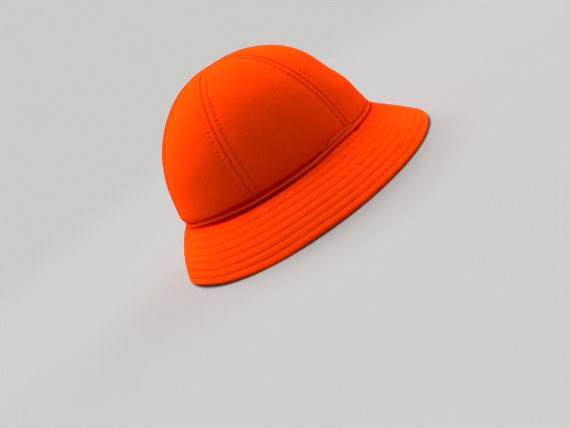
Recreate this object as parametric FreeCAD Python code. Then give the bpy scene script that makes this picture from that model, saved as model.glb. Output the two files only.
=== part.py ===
# Soft six-gore hat with a corded welt and a padded, row-quilted brim.
# Millimetres.  +X is the front of the hat, +Y its left side, +Z is up.
# The hat stands on the edge of its brim: z = 0 is the surface that the brim
# edge rests on, and x = y = 0 is the middle of the hat's bounding box.
#
# The shapes are worked out in the seam frame (z = 0 at the seam between crown
# and brim, origin at the middle of the head oval).  place() then pitches the
# hat by the small angle that makes the brim edge level, and lifts it.
import FreeCAD, Part
import os
from math import sin, cos, asin, atan, atan2, pi, sqrt, radians, hypot

os.makedirs("parts", exist_ok=True)

# ------------------------------------------------------------ driving sizes
HEAD_A = 107.4        # half length of the outer oval at the crown/brim seam
HEAD_B = 86.3         # half width of the outer oval
CROWN_H = 112.2       # height of the crown above the seam
CROWN_N = 2.42        # fullness of the crown's outline at the sides
CROWN_NF = -0.05      # added fullness in front
CROWN_NR = -0.49      # added fullness at the back (rounder there)
CROWN_M = 2.0         # fullness of the crown's outline upwards
APEX_X = -7.9         # the apex lies this far behind the middle of the oval
SEAM_T = 59.7         # the side seams lie this many degrees from front and rear

BRIM_W = 58.0         # width of the brim along its surface
BRIM_DROP = 43.8      # drop of the brim's edge at mid length
BRIM_TILT = 0.040     # slope of the edge plane, seam plane = 0
BEND_F = 7.7          # how much the brim curls downwards across its width, deg
BEND_R = 31.1
BEND_S = 20.0

T_FABRIC = 0.9        # brushed knit outer fabric
T_FOAM = 1.9          # foam interlining of the crown
T_LINING = 0.5
T_CORE = 2.0          # stiffened foam core of the brim
GAP = 0.08            # clearance between layers
SEAM_GAP = 0.05       # half clearance between neighbouring gores
CROWN_Z0 = 2.25       # the gores end this far above the seam, on the welt
TIP_R = 0.8           # the gores' tips are this far from the apex

WELT_R = 2.1          # radius of the welt's cover
WELT_RI = 1.35
CORD_R = 1.27
WELT_IN = 0.6         # the welt's centre lies this far inside the oval

BAND_T = 0.7          # sweatband
BAND_H = 32.0
BAND_Z0 = -1.5

BRIM_S0 = 1.85        # the brim starts this far out from the seam line
ROWS = [10.6, 17.5, 24.6, 31.6, 38.5, 45.3, 51.9]   # quilting rows, from the seam
THREAD_W = 0.55
THREAD_T = 0.28
ROW_OFF = 6.0         # top-stitching runs this far from each crown seam

X_SHIFT = -6.02       # middle of the bounding box in the pitched frame

# ------------------------------------------------------------ derived sizes
HEM_R = (2 * T_FABRIC + T_CORE + 2 * GAP) / 2.0     # the edge is a round roll
PITCH = atan(BRIM_TILT)
LIFT = (BRIM_DROP - 0.82 * HEM_R) * cos(PITCH) + HEM_R + 0.09   # seam centre above z = 0


def place(p):
    """seam frame -> part frame"""
    x, y, z = p
    return FreeCAD.Vector(x * cos(PITCH) + z * sin(PITCH) + X_SHIFT, y,
                          -x * sin(PITCH) + z * cos(PITCH) + LIFT)


# ------------------------------------------------------------ analytic shape
def oval(t):
    return HEAD_A * cos(t), HEAD_B * sin(t)


def onorm(t):
    nx, ny = HEAD_B * cos(t), HEAD_A * sin(t)
    l = hypot(nx, ny)
    return nx / l, ny / l


_prof = {}


def profile(t):
    """outline of the crown at angle t: list of (arc, rho, z), from base to apex"""
    key = round(t, 6)
    if key in _prof:
        return _prof[key]
    c = cos(t)
    n = CROWN_N + (CROWN_NF if c > 0 else CROWN_NR) * c * c
    pts = []
    N = 400
    R0 = 97.0
    for i in range(N + 1):
        th = pi / 2 * i / N
        # polar sampling keeps the steps even at both ends
        cr, sr = cos(th), sin(th)
        k = (cr ** n + sr ** CROWN_M)
        # scale so that rho^n + z^m = 1 (solved by a few Newton steps)
        lam = 1.0
        for _ in range(6):
            f = (lam * cr) ** n + (lam * sr) ** CROWN_M - 1.0
            d = n * (lam * cr) ** n / lam + CROWN_M * (lam * sr) ** CROWN_M / lam
            lam -= f / d
        pts.append((lam * cr, CROWN_H * lam * sr))
    out = [(0.0, pts[0][0], pts[0][1])]
    for (r0, z0), (r1, z1) in zip(pts, pts[1:]):
        out.append((out[-1][0] + hypot((r1 - r0) * R0, z1 - z0), r1, z1))
    _prof[key] = out
    return out


def interp(tab, a):
    lo, hi = 0, len(tab) - 1
    while hi - lo > 1:
        m = (lo + hi) // 2
        if tab[m][0] <= a:
            lo = m
        else:
            hi = m
    w = (a - tab[lo][0]) / max(tab[hi][0] - tab[lo][0], 1e-12)
    return tab[lo][1] + w * (tab[hi][1] - tab[lo][1]), tab[lo][2] + w * (tab[hi][2] - tab[lo][2])


def crown_raw(t, rho, z):
    x, y = oval(t)
    return (x * rho + APEX_X * z / CROWN_H, y * rho, z)


def arc_at(t, z=None, rho=None):
    tab = profile(t)
    for a, r, zz in tab:
        if z is not None and zz >= z:
            return a
        if rho is not None and r <= rho:
            return a
    return tab[-1][0]


def sub(a, b):
    return (a[0] - b[0], a[1] - b[1], a[2] - b[2])


def cross(a, b):
    return (a[1] * b[2] - a[2] * b[1], a[2] * b[0] - a[0] * b[2], a[0] * b[1] - a[1] * b[0])


def unit(a):
    l = sqrt(a[0] ** 2 + a[1] ** 2 + a[2] ** 2)
    return (a[0] / l, a[1] / l, a[2] / l)


def add(a, b, k=1.0):
    return (a[0] + k * b[0], a[1] + k * b[1], a[2] + k * b[2])


def crown_pt(t, s, z0=CROWN_Z0, tip=TIP_R):
    """s = 0 at the crown's lower edge, 1 at the tip of the gore"""
    a0 = arc_at(t, z=z0)
    a1 = arc_at(t, rho=tip / 97.0)
    r, z = interp(profile(t), a0 + (a1 - a0) * s)
    return crown_raw(t, r, z)


def crown_nrm(t, s):
    h = 1e-3
    s0, s1 = max(s - h, 0.0), min(s + h, 1.0)
    dv = sub(crown_pt(t, s1), crown_pt(t, s0))
    # tangent along t from the lower edge keeps the normal stable at the tip
    x, y = oval(t)
    du = (-HEAD_A * sin(t), HEAD_B * cos(t), 0.0)
    return unit(cross(du, dv))


def crown_off(t, s, depth):
    return add(crown_pt(t, s), crown_nrm(t, s), -depth)


# brim: the top surface leaves the seam oval and curls downwards
def bend(t):
    c = cos(t)
    b = BEND_S + ((BEND_F if c > 0 else BEND_R) - BEND_S) * c * c
    return radians(b)


_ang = {}
W_TOP = BRIM_W - HEM_R      # top surface as far as the roll of the edge


def brim_angles(t):
    key = round(t, 6)
    if key in _ang:
        return _ang[key]
    d = bend(t)
    x, y = oval(t)
    nx, ny = onorm(t)
    am = radians(48.0)
    for _ in range(25):
        a1 = am + d / 2
        w = W_TOP * sin(d / 2) / (d / 2) * cos(am)
        xc = x + nx * (w - HEM_R * sin(a1))            # centre of the roll
        drop = (BRIM_DROP - 0.82 * HEM_R) - BRIM_TILT * xc - HEM_R * cos(a1)
        am = asin(min(0.999, drop / (W_TOP * sin(d / 2) / (d / 2))))
    _ang[key] = (am - d / 2, am + d / 2)
    return _ang[key]


def brim_frame(t, s):
    """point of the top surface at s mm from the seam, its direction and normal"""
    a0, a1 = brim_angles(t)
    da = (a1 - a0) / W_TOP
    a = a0 + da * s
    w = (sin(a) - sin(a0)) / da
    h = (cos(a0) - cos(a)) / da
    x, y = oval(t)
    nx, ny = onorm(t)
    return (x + nx * w, y + ny * w, -h), (nx * cos(a), ny * cos(a), -sin(a)), (nx * sin(a), ny * sin(a), cos(a))


def brim_off(t, s, depth):
    p, d, n = brim_frame(t, s)
    return add(p, n, -depth)


def roll_pt(t, ang, r):
    """point of the edge roll; ang 0 at the under side, 90 at the tip, 180 on top"""
    p, d, n = brim_frame(t, W_TOP)
    c = add(p, n, -HEM_R)
    a = radians(ang)
    return add(add(c, n, -r * cos(a)), d, r * sin(a))


# ------------------------------------------------------------ solid builder
def surf(f, nu, nv):
    g = []
    for i in range(nu):
        g.append([place(f(i / (nu - 1.0), j / (nv - 1.0))) for j in range(nv)])
    s = Part.BSplineSurface()
    s.interpolate(g)
    return s


def slab(outer, inner, nu, nv):
    """closed solid between two mapped surfaces of (u, v) in 0..1"""
    so, si = surf(outer, nu, nv), surf(inner, nu, nv)
    faces = [so.toShape(), si.toShape()]
    uo, ui = so.bounds(), si.bounds()
    for k in (0, 1):
        faces.append(Part.makeRuledSurface(so.uIso(uo[k]).toShape(), si.uIso(ui[k]).toShape()))
        faces.append(Part.makeRuledSurface(so.vIso(uo[2 + k]).toShape(), si.vIso(ui[2 + k]).toShape()))
    sh = Part.makeShell(faces)
    sh.sewShape()
    sol = Part.Solid(sh)
    if sol.Volume < 0:
        sol.reverse()
    return sol


total = []


def save(name, solids):
    shp = solids[0] if len(solids) == 1 else Part.makeCompound(solids)
    ok = all(s.isValid() and s.isClosed() for s in solids)
    v = sum(s.Volume for s in solids)
    shp.exportStep("parts/" + name + ".step")
    bb = shp.BoundBox
    total.append(bb)
    print("%-28s solids %2d valid %s volume %9.1f  x %7.1f %7.1f  y %7.1f %7.1f  z %7.2f %7.2f" % (
        name, len(solids), ok, v, bb.XMin, bb.XMax, bb.YMin, bb.YMax, bb.ZMin, bb.ZMax))


def lerp(a, b, w):
    return a + (b - a) * w


# ------------------------------------------------------------ crown gores
T1 = radians(SEAM_T)
GORES = {
    "front_left": (0.0, T1), "left": (T1, pi - T1), "rear_left": (pi - T1, pi),
    "front_right": (-T1, 0.0), "right": (-pi + T1, -T1), "rear_right": (-pi, -pi + T1),
}
D_FAB = (0.0, T_FABRIC)
D_FOAM = (T_FABRIC + GAP, T_FABRIC + GAP + T_FOAM)
D_LIN = (D_FOAM[1] + GAP, D_FOAM[1] + GAP + T_LINING)


def gore(t0, t1, depth, z0=CROWN_Z0):
    """surface of a gore at a depth, pulled back a little from both seams"""
    def f(u, v):
        t = lerp(t0, t1, u)
        p = crown_off(t, v, depth)
        e = []
        for ts in (t0, t1):
            x, y = oval(ts)
            l = hypot(x, y)
            e.append((-y / l, x / l, 0.0))
        k0, k1 = SEAM_GAP * (1 - u), SEAM_GAP * u
        return add(add(p, e[0], k0), e[1], -k1)
    return f


for nm, (a, b) in GORES.items():
    save("crown_panel_" + nm, [slab(gore(a, b, D_FAB[0]), gore(a, b, D_FAB[1]), 13, 23)])
    save("crown_interlining_" + nm, [slab(gore(a, b, D_FOAM[0]), gore(a, b, D_FOAM[1]), 13, 23)])
    save("lining_panel_" + nm, [slab(gore(a, b, D_LIN[0]), gore(a, b, D_LIN[1]), 13, 23)])

# ------------------------------------------------------------ brim halves
HALVES = {"front": (-pi / 2, pi / 2), "rear": (pi / 2, 3 * pi / 2)}
EDGE_U = 105.0        # the under layer wraps the edge as far as this angle
NU, NV = 41, 60
D_CORE = (T_FABRIC + GAP, T_FABRIC + GAP + T_CORE)


def side_pull(a, b, u, p, t):
    # the two halves butt at the side seams with a small clearance
    k = SEAM_GAP * (1 - 2 * u)
    tx, ty = -sin(t), cos(t)
    return add(p, (tx, ty, 0.0), k)


def strip_len(r, ang):
    return r * radians(ang)


def under(a, b, depth, r):
    L0 = W_TOP - BRIM_S0
    L1 = strip_len(HEM_R, EDGE_U)
    def f(u, v):
        t = lerp(a, b, u)
        q = v * (L0 + L1)
        if q <= L0:
            p = brim_off(t, BRIM_S0 + q, depth)
        else:
            p = roll_pt(t, EDGE_U * (q - L0) / L1, r)
        return side_pull(a, b, u, p, t)
    return f


def top(a, b, depth, r):
    L0 = W_TOP - BRIM_S0
    turn = 180.0 - EDGE_U - 3.0
    L1 = strip_len(HEM_R, turn)
    def f(u, v):
        t = lerp(a, b, u)
        q = v * (L0 + L1)
        if q <= L0:
            p = brim_off(t, BRIM_S0 + q, depth)
        else:
            p = roll_pt(t, 180.0 - turn * (q - L0) / L1, r)
        return side_pull(a, b, u, p, t)
    return f


def flat(a, b, depth, s0, s1):
    def f(u, v):
        t = lerp(a, b, u)
        return side_pull(a, b, u, brim_off(t, lerp(s0, s1, v), depth), t)
    return f


for nm, (a, b) in HALVES.items():
    save("brim_top_" + nm, [slab(top(a, b, 0.0, HEM_R), top(a, b, T_FABRIC, HEM_R - T_FABRIC), NU, NV)])
    save("brim_core_" + nm, [slab(flat(a, b, D_CORE[0], BRIM_S0, W_TOP), flat(a, b, D_CORE[1], BRIM_S0, W_TOP), NU, 15)])
    save("brim_under_" + nm, [slab(under(a, b, 2 * HEM_R, HEM_R), under(a, b, 2 * HEM_R - T_FABRIC, HEM_R - T_FABRIC), NU, NV)])


# ------------------------------------------------------------ welt
def ring(t, dr, dz):
    x, y = oval(t)
    nx, ny = onorm(t)
    return (x + nx * (dr - WELT_IN), y + ny * (dr - WELT_IN), dz)


END = 0.0015          # the ends meet at the rear with a small clearance


def tube_arc(r, a0, a1):
    def f(u, v):
        t = lerp(-pi + END, pi - END, u)
        a = radians(lerp(a0, a1, v))
        return ring(t, r * cos(a), r * sin(a))
    return f


# cover: folded round the cord, open on the inner side where it is sewn in
save("welt_cover", [slab(tube_arc(WELT_R, -160, 160), tube_arc(WELT_RI, -160, 160), 81, 25)])


def cord_face(k):
    # quarter of the cord's round surface
    return tube_arc(CORD_R, 45 + 90 * k, 135 + 90 * k)


def cord_solid():
    ss = [surf(cord_face(k), 81, 9) for k in range(4)]
    faces = [s.toShape() for s in ss]
    for end in (0, 1):
        es = []
        for s in ss:
            bnd = s.bounds()
            es.append(s.uIso(bnd[end]).toShape())
        w = Part.Wire(Part.__sortEdges__(es))
        faces.append(Part.Face(w))
    sh = Part.makeShell(faces)
    sh.sewShape()
    sol = Part.Solid(sh)
    if sol.Volume < 0:
        sol.reverse()
    return sol


save("welt_cord", [cord_solid()])


# ------------------------------------------------------------ sweatband
D_BAND = D_LIN[1] + 0.12


def wall(depth, z0, z1):
    """inside wall of the crown at a depth, from height z0 to z1, open at the rear"""
    def f(u, v):
        t = lerp(-pi + 2 * END, pi - 2 * END, u)
        z = lerp(z0, z1, v)
        c = cos(t)
        n = CROWN_N + (CROWN_NF if c > 0 else CROWN_NR) * c * c
        zz = max(z, 0.0) / CROWN_H
        rho = (1 - zz ** CROWN_M) ** (1 / n)
        p = crown_raw(t, rho, max(z, 0.0))
        nx, ny = onorm(t)
        return (p[0] - nx * depth, p[1] - ny * depth, z)
    return f


save("sweatband", [slab(wall(D_BAND, BAND_Z0, BAND_Z0 + BAND_H), wall(D_BAND + BAND_T, BAND_Z0, BAND_Z0 + BAND_H), 81, 9)])
z_row = BAND_Z0 + 2.5
save("sweatband_stitching", [slab(wall(D_BAND + BAND_T + 0.02, z_row, z_row + THREAD_W),
                                  wall(D_BAND + BAND_T + 0.02 + THREAD_T, z_row, z_row + THREAD_W), 81, 4)])


# ------------------------------------------------------------ crown top-stitching
def seam_row(ts, side):
    """row of stitches beside the seam at angle ts, on the crown's surface"""
    def f0(h):
        def f(u, v):
            s = lerp(0.012, 0.885, u)
            off = side * (ROW_OFF + (v - 0.5) * THREAD_W)
            p0 = crown_pt(ts, s)
            # step along the surface, square to the seam
            x, y, z = p0
            r, _z = 0, 0
            l = hypot(*[p0[0] - APEX_X * p0[2] / CROWN_H, p0[1]])
            e = 1e-3
            q = crown_pt(ts + e, s)
            step = sqrt(sum(k * k for k in sub(q, p0))) / e
            t = ts + off / step
            # second pass with the mean step
            q0, q1 = crown_pt(ts + (t - ts) / 2 - e, s), crown_pt(ts + (t - ts) / 2 + e, s)
            step = sqrt(sum(k * k for k in sub(q1, q0))) / (2 * e)
            t = ts + off / step
            return add(crown_pt(t, s), crown_nrm(t, s), h)
        return f
    return slab(f0(0.02 + THREAD_T), f0(0.02), 33, 4)


rows = []
for ts in (0.0, T1, pi - T1, pi, -pi + T1, -T1):
    for side in (-1, 1):
        rows.append(seam_row(ts, side))
save("crown_topstitching", rows)


# ------------------------------------------------------------ quilting rows of the brim
def brim_row(a, b, s, under_side):
    base = -0.02 if not under_side else 2 * HEM_R + 0.02
    sg = -1 if not under_side else 1
    def f0(h):
        def f(u, v):
            t = lerp(a, b, u)
            return side_pull(a, b, u, brim_off(t, s + (v - 0.5) * THREAD_W, base + sg * h), t)
        return f
    return slab(f0(THREAD_T), f0(0.0), 41, 4)


save("brim_quilting_top", [brim_row(a, b, s, False) for (a, b) in HALVES.values() for s in ROWS])
save("brim_quilting_under", [brim_row(a, b, s, True) for (a, b) in HALVES.values() for s in ROWS])

bx = (min(b.XMin for b in total), max(b.XMax for b in total))
by = (min(b.YMin for b in total), max(b.YMax for b in total))
bz = (min(b.ZMin for b in total), max(b.ZMax for b in total))
print("nodes", len(total), "box x %.2f %.2f  y %.2f %.2f  z %.2f %.2f" % (bx + by + bz),
      "x centre %.2f" % ((bx[0] + bx[1]) / 2), "lift %.2f" % LIFT)
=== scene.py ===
import math
import bpy
import numpy as np
from math import radians, pi
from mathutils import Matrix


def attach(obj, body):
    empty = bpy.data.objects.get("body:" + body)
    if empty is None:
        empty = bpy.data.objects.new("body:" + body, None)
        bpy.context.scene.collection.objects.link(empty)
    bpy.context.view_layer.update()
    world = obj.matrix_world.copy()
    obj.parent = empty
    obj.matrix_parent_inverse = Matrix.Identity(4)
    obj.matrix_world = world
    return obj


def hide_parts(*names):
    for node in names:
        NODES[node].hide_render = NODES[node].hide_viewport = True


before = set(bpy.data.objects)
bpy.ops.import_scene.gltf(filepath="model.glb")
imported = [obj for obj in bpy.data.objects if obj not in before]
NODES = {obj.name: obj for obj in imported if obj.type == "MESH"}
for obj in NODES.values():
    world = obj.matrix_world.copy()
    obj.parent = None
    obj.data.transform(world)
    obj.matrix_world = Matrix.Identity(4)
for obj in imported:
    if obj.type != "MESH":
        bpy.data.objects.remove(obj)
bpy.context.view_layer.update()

# =====================================================================
# 1. The hat's shape, in millimetres, in the seam frame.
#    +X front, +Y left, +Z up, z = 0 at the crown/brim seam.
# =====================================================================
HEAD_A, HEAD_B = 107.4, 86.3
CROWN_H, CROWN_N, CROWN_NF, CROWN_NR, CROWN_M = 112.2, 2.42, -0.05, -0.49, 2.0
APEX_X = -7.9
SEAM_T = radians(59.7)
BRIM_W, BRIM_DROP, BRIM_TILT = 58.0, 43.8, 0.040
BEND_F, BEND_R, BEND_S = 7.7, 31.1, 20.0
T_FABRIC, T_FOAM, T_LINING, T_CORE, GAP = 0.9, 1.9, 0.5, 2.0, 0.08
CROWN_Z0 = 2.25
WELT_R, WELT_IN = 2.1, 0.6
BAND_T, BAND_H, BAND_Z0 = 0.7, 32.0, -1.5
BRIM_S0 = 1.85
ROWS = [10.6, 17.5, 24.6, 31.6, 38.5, 45.3, 51.9]
ROW_OFF = 6.0
PITCH_ST = 4.25                     # stitch length
X_SHIFT = -6.02
HEM_R = (2 * T_FABRIC + T_CORE + 2 * GAP) / 2.0
W_TOP = BRIM_W - HEM_R
PITCH = math.atan(BRIM_TILT)
LIFT = (BRIM_DROP - 0.82 * HEM_R) * math.cos(PITCH) + HEM_R + 0.09
CP, SP = math.cos(PITCH), math.sin(PITCH)
M_ROT = np.array([[CP, 0, SP], [0, 1, 0], [-SP, 0, CP]])
T_VEC = np.array([X_SHIFT, 0.0, LIFT])


def place(P):
    """seam frame, mm -> part frame, metres"""
    return (np.asarray(P) @ M_ROT.T + T_VEC) * 0.001


def V(*a):
    return np.stack(np.broadcast_arrays(*a), -1)


def unit(a):
    return a / (np.linalg.norm(a, axis=-1, keepdims=True) + 1e-12)


def sstep(x, a, b):
    t = np.clip((x - a) / (b - a), 0, 1)
    return t * t * (3 - 2 * t)


def oval(t):
    return HEAD_A * np.cos(t), HEAD_B * np.sin(t)


def onorm(t):
    nx, ny = HEAD_B * np.cos(t), HEAD_A * np.sin(t)
    l = np.hypot(nx, ny)
    return nx / l, ny / l


# ---- seeded smooth noise -------------------------------------------------
def _hash(i, j, seed):
    x = np.sin(i * 127.1 + j * 311.7 + seed * 74.7) * 43758.5453
    return x - np.floor(x)


def noise2(x, y, seed=0):
    xi, yi = np.floor(x), np.floor(y)
    fx, fy = x - xi, y - yi
    fx, fy = fx * fx * (3 - 2 * fx), fy * fy * (3 - 2 * fy)
    a = _hash(xi, yi, seed); b = _hash(xi + 1, yi, seed)
    c = _hash(xi, yi + 1, seed); d = _hash(xi + 1, yi + 1, seed)
    return (a + (b - a) * fx + (c - a) * fy + (a - b - c + d) * fx * fy) * 2 - 1


def fnoise(x, y, seed=0, octaves=3):
    s, k, n = 0, 1.0, 0
    for o in range(octaves):
        s = s + k * noise2(x * 2 ** o, y * 2 ** o, seed + 17 * o)
        n += k; k *= 0.5
    return s / n


# ---- how the seam between crown and brim wanders: mm it hangs below a level line ----
def periodic(t, tab):
    """smooth value round the hat from a table of degrees and values, -180..180"""
    T_ = np.radians([k for k, _ in tab]); D_ = [v for _, v in tab]
    out = 0.0
    for e, w in ((-0.05, 0.25), (0.0, 0.5), (0.05, 0.25)):
        out = out + w * np.interp((np.asarray(t, float) + e + pi) % (2 * pi) - pi, T_, D_)
    return out


SAG = [(-180, .7), (-170, .5), (-160, -.3), (-150, 0), (-139, .6), (-131, 1.2), (-124.5, 1.9), (-112, 2.0), (-104, 1.9),
       (-96, 1.75), (-88, 1.5), (-84, 1.0), (-79, 0.0), (-74, -.8), (-66, -.95), (-58, -.6), (-45, -.8), (-25, -1.2),
       (-10, -1.1), (15, -.5), (45, .4), (80, .9), (110, .2), (140, -.5), (165, .3), (180, .7)]
# how far the welt lies sunk between crown and brim, 0..1
SUNK = [(-180, .25), (-168, .3), (-158, .42), (-150, .6), (-145, .8), (-139, .95), (-128, 1.0), (-112, .95), (-104, .85), (-97, .6),
        (-88, .4), (-75, .3), (-40, .25), (0, .15), (40, .3), (80, .5), (110, .7), (140, .4), (180, .25)]
# how much shade is painted into the crevice over the welt
WELT_CREVICE_SHADE = [(-180, .9), (-100, 1.0), (-88, .75), (-80, .35), (-50, .25), (0, .25), (60, .4), (110, .8), (180, .9)]


def sag(t):
    return periodic(t, SAG)


def sunk(t):
    return periodic(t, SUNK)


# ---- crown ----------------------------------------------------------------
def crown_exp(t):
    c = np.cos(t)
    return CROWN_N + np.where(c > 0, CROWN_NF, CROWN_NR) * c * c


def _lam(th, n):
    cr, sr = np.cos(th), np.sin(th)
    cr = np.maximum(cr, 1e-9); sr = np.maximum(sr, 1e-9)
    lam = np.ones_like(th * n)
    for _ in range(7):
        f = (lam * cr) ** n + (lam * sr) ** CROWN_M - 1.0
        d = n * (lam * cr) ** n / lam + CROWN_M * (lam * sr) ** CROWN_M / lam
        lam = lam - f / d
    return lam * cr, CROWN_H * lam * sr


NN = np.linspace(1.90, 2.45, 23)
TH = np.linspace(0, pi / 2, 901)


def make_tab(z0, tip):
    rows = []
    for n in NN:
        r, z = _lam(TH, n)
        arc = np.concatenate([[0], np.cumsum(np.hypot(np.diff(r) * 97.0, np.diff(z)))])
        a0 = np.interp(z0, z, arc)
        a1 = np.interp(-tip / 97.0, -r, arc)
        s = np.linspace(0, 1, 401)
        rows.append(np.interp(a0 + (a1 - a0) * s, arc, TH))
    return np.array(rows)


TAB = make_tab(1.0, 0.12)          # outer cloth reaches down into the welt
TAB_IN = make_tab(4.6, 0.12)       # padding stops short of the seam
CROWN_LEN = 152.0      # arc of a gore from lower edge to tip, about


def crown_th(t, s, tab):
    n = crown_exp(t)
    fi = np.clip((n - NN[0]) / (NN[1] - NN[0]), 0, len(NN) - 1.001)
    i = fi.astype(int); wi = fi - i
    fj = np.clip(s, 0, 1) * 400 * 0.999999
    j = fj.astype(int); wj = fj - j
    A = tab[i, j] * (1 - wj) + tab[i, j + 1] * wj
    B = tab[i + 1, j] * (1 - wj) + tab[i + 1, j + 1] * wj
    return A * (1 - wi) + B * wi, n


def crown_pt(t, s, tab=None):
    t, s = np.broadcast_arrays(np.asarray(t, float), np.asarray(s, float))
    th, n = crown_th(t, s, TAB if tab is None else tab)
    rho, z = _lam(th, n)
    x, y = oval(t)
    return V(x * rho + APEX_X * z / CROWN_H, y * rho, z - sag(t) * np.exp(-(z / 11.0) ** 2))


def crown_nrm(t, s, tab=None):
    t, s = np.broadcast_arrays(np.asarray(t, float), np.asarray(s, float))
    h = 2e-3
    s0, s1 = np.clip(s - h, 0, 1), np.clip(s + h, 0, 1)
    dv = crown_pt(t, s1, tab) - crown_pt(t, s0, tab)
    du = V(-HEAD_A * np.sin(t), HEAD_B * np.cos(t), 0 * t)
    return unit(np.cross(du, dv))


def gs(x, w):
    return np.exp(-(x / w) ** 2)


def broad(t, a):
    """slow departures of the worn crown from its pattern, mm outward; a = mm up from the seam"""
    tw = (t + pi) % (2 * pi) - pi
    back = gs(pi - np.abs(tw), radians(44))
    h = back * (1.9 * gs(a - 7, 11) + 0.2 * gs(a - 40, 20) - 0.1 * gs(a - 72, 20))
    h = h + 0.4 * gs(np.abs(tw) - radians(125), radians(40)) * gs(a - 128, 18)
    h = h - 2.7 * gs(np.abs(tw) - radians(18), radians(26)) * gs(a - 49, 16)
    h = h + 0.8 * gs(np.abs(tw), radians(40)) * gs(a - 88, 15)
    h = h + (1.7 * gs(a - 1.0, 5.5) - 0.5 * gs(a - 16, 9)) * gs(tw, radians(42))
    h = h - 0.9 * gs(a - 152, 14)
    return h


# ---- brim ------------------------------------------------------------------
EDGE_T = np.radians([-200, -190, -180, -170, -160, -150, -140, -130, -120, -110, -100, -90, -80, -70, -60, -50, -40,
                     -30, -20, -10, 0, 10, 20, 40, 70, 100, 130, 150, 160])
EDGE_D = np.array([0.6, 1.7, 0.7, -1.2, -1.9, -0.5, 0.0, 1.0, 1.4, 0.3, 0.1, 0.7, 1.0, 0.8, 1.2, 1.3, 0.8,
                   1.0, 0.4, -1.5, -1.8, -1.6, -0.8, 0.6, -0.4, 0.8, -0.5, 0.3, 0.6])


def edge_wave(t):
    """uneven edge of a sewn brim: how far it stands out or in, mm"""
    tw = (t + radians(200)) % (2 * pi) - radians(200)
    return np.interp(tw, EDGE_T, EDGE_D)


def bend(t):
    c = np.cos(t)
    return np.radians(BEND_S + (np.where(c > 0, BEND_F, BEND_R) - BEND_S) * c * c)


def brim_angles(t):
    d = bend(t)
    x, y = oval(t); nx, ny = onorm(t)
    am = np.full_like(np.asarray(t, float), radians(48.0))
    sc = np.sin(d / 2) / (d / 2)
    for _ in range(25):
        a1 = am + d / 2
        w = W_TOP * sc * np.cos(am)
        xc = x + nx * (w - HEM_R * np.sin(a1))
        drop = (BRIM_DROP - 0.82 * HEM_R) - BRIM_TILT * xc - HEM_R * np.cos(a1)
        am = np.arcsin(np.minimum(0.999, drop / (W_TOP * sc)))
    return am - d / 2, am + d / 2


def brim_frame(t, s):
    t, s = np.broadcast_arrays(np.asarray(t, float), np.asarray(s, float))
    a0, a1 = brim_angles(t)
    da = (a1 - a0) / W_TOP
    a = a0 + da * s
    w = (np.sin(a) - np.sin(a0)) / da
    h = (np.cos(a0) - np.cos(a)) / da
    x, y = oval(t); nx, ny = onorm(t)
    low = 1.9 * np.exp(-(((t + pi) % (2 * pi) - pi - radians(18)) / radians(27)) ** 2) * sstep(s, 2.0, 24.0)
    P = V(x + nx * w, y + ny * w, -h - sag(t) * np.exp(-(s / 9.0) ** 2) - low)
    D = V(nx * np.cos(a), ny * np.cos(a), -np.sin(a))
    N = V(nx * np.sin(a), ny * np.sin(a), np.cos(a))
    return P, D, N


def brim_surface(t, q, side):
    """Continuous skin of the brim, q in mm along it.  side +1: the top skin,
    side -1: the under skin.  Past W_TOP it goes round the edge roll.
    Returns point and outward normal."""
    q = np.asarray(q, float)
    sc = np.minimum(q, W_TOP)
    P, D, N = brim_frame(t, sc)
    wv = edge_wave(t)
    wv = (wv + edge_wave(t + 0.06) + edge_wave(t - 0.06)) / 3
    P = P + D * (wv * (sc / W_TOP) ** 2)[..., None]
    a = np.maximum(q - W_TOP, 0) / HEM_R          # angle round the roll
    C = P - HEM_R * N
    if side > 0:
        nrm = N * np.cos(a)[..., None] + D * np.sin(a)[..., None]
    else:
        nrm = -N * np.cos(a)[..., None] + D * np.sin(a)[..., None]
    return C + HEM_R * nrm, nrm


# =====================================================================
# 2. Mesh helpers
# =====================================================================
def new_obj(name, verts_m, faces, smooth=True):
    me = bpy.data.meshes.new(name)
    me.from_pydata([tuple(v) for v in verts_m], [], faces)
    me.validate(clean_customdata=False)
    me.update()
    if smooth:
        me.polygons.foreach_set("use_smooth", [True] * len(me.polygons))
    ob = bpy.data.objects.new(name, me)
    bpy.context.scene.collection.objects.link(ob)
    return ob


def add_attr(ob, name, vals):
    a = ob.data.attributes.new(name, "FLOAT", "POINT")
    a.data.foreach_set("value", np.asarray(vals, dtype=np.float32))


def add_vec(ob, name, vals):
    a = ob.data.attributes.new(name, "FLOAT_VECTOR", "POINT")
    a.data.foreach_set("vector", np.asarray(vals, dtype=np.float32).ravel())


def grid_faces(nu, nv, off=0, flip=False, wrap_u=False):
    i = np.arange(nu if wrap_u else nu - 1)[:, None]
    j = np.arange(nv - 1)[None, :]
    i2 = (i + 1) % nu
    a = i * nv + j; b = i2 * nv + j; c = i2 * nv + j + 1; d = i * nv + j + 1
    f = np.stack([a, b, c, d], -1).reshape(-1, 4) + off
    if flip:
        f = f[:, ::-1]
    return f.tolist()


def zipper(A, B, flip=False):
    """triangles between two index rows that run the same way"""
    f = []; i = j = 0
    na, nb = len(A) - 1, len(B) - 1
    while i < na or j < nb:
        if j >= nb or (i < na and (i + 1) * nb <= (j + 1) * na):
            t = (A[i], A[i + 1], B[j]); i += 1
        else:
            t = (A[i], B[j + 1], B[j]); j += 1
        f.append(t[::-1] if flip else t)
    return f


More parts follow.
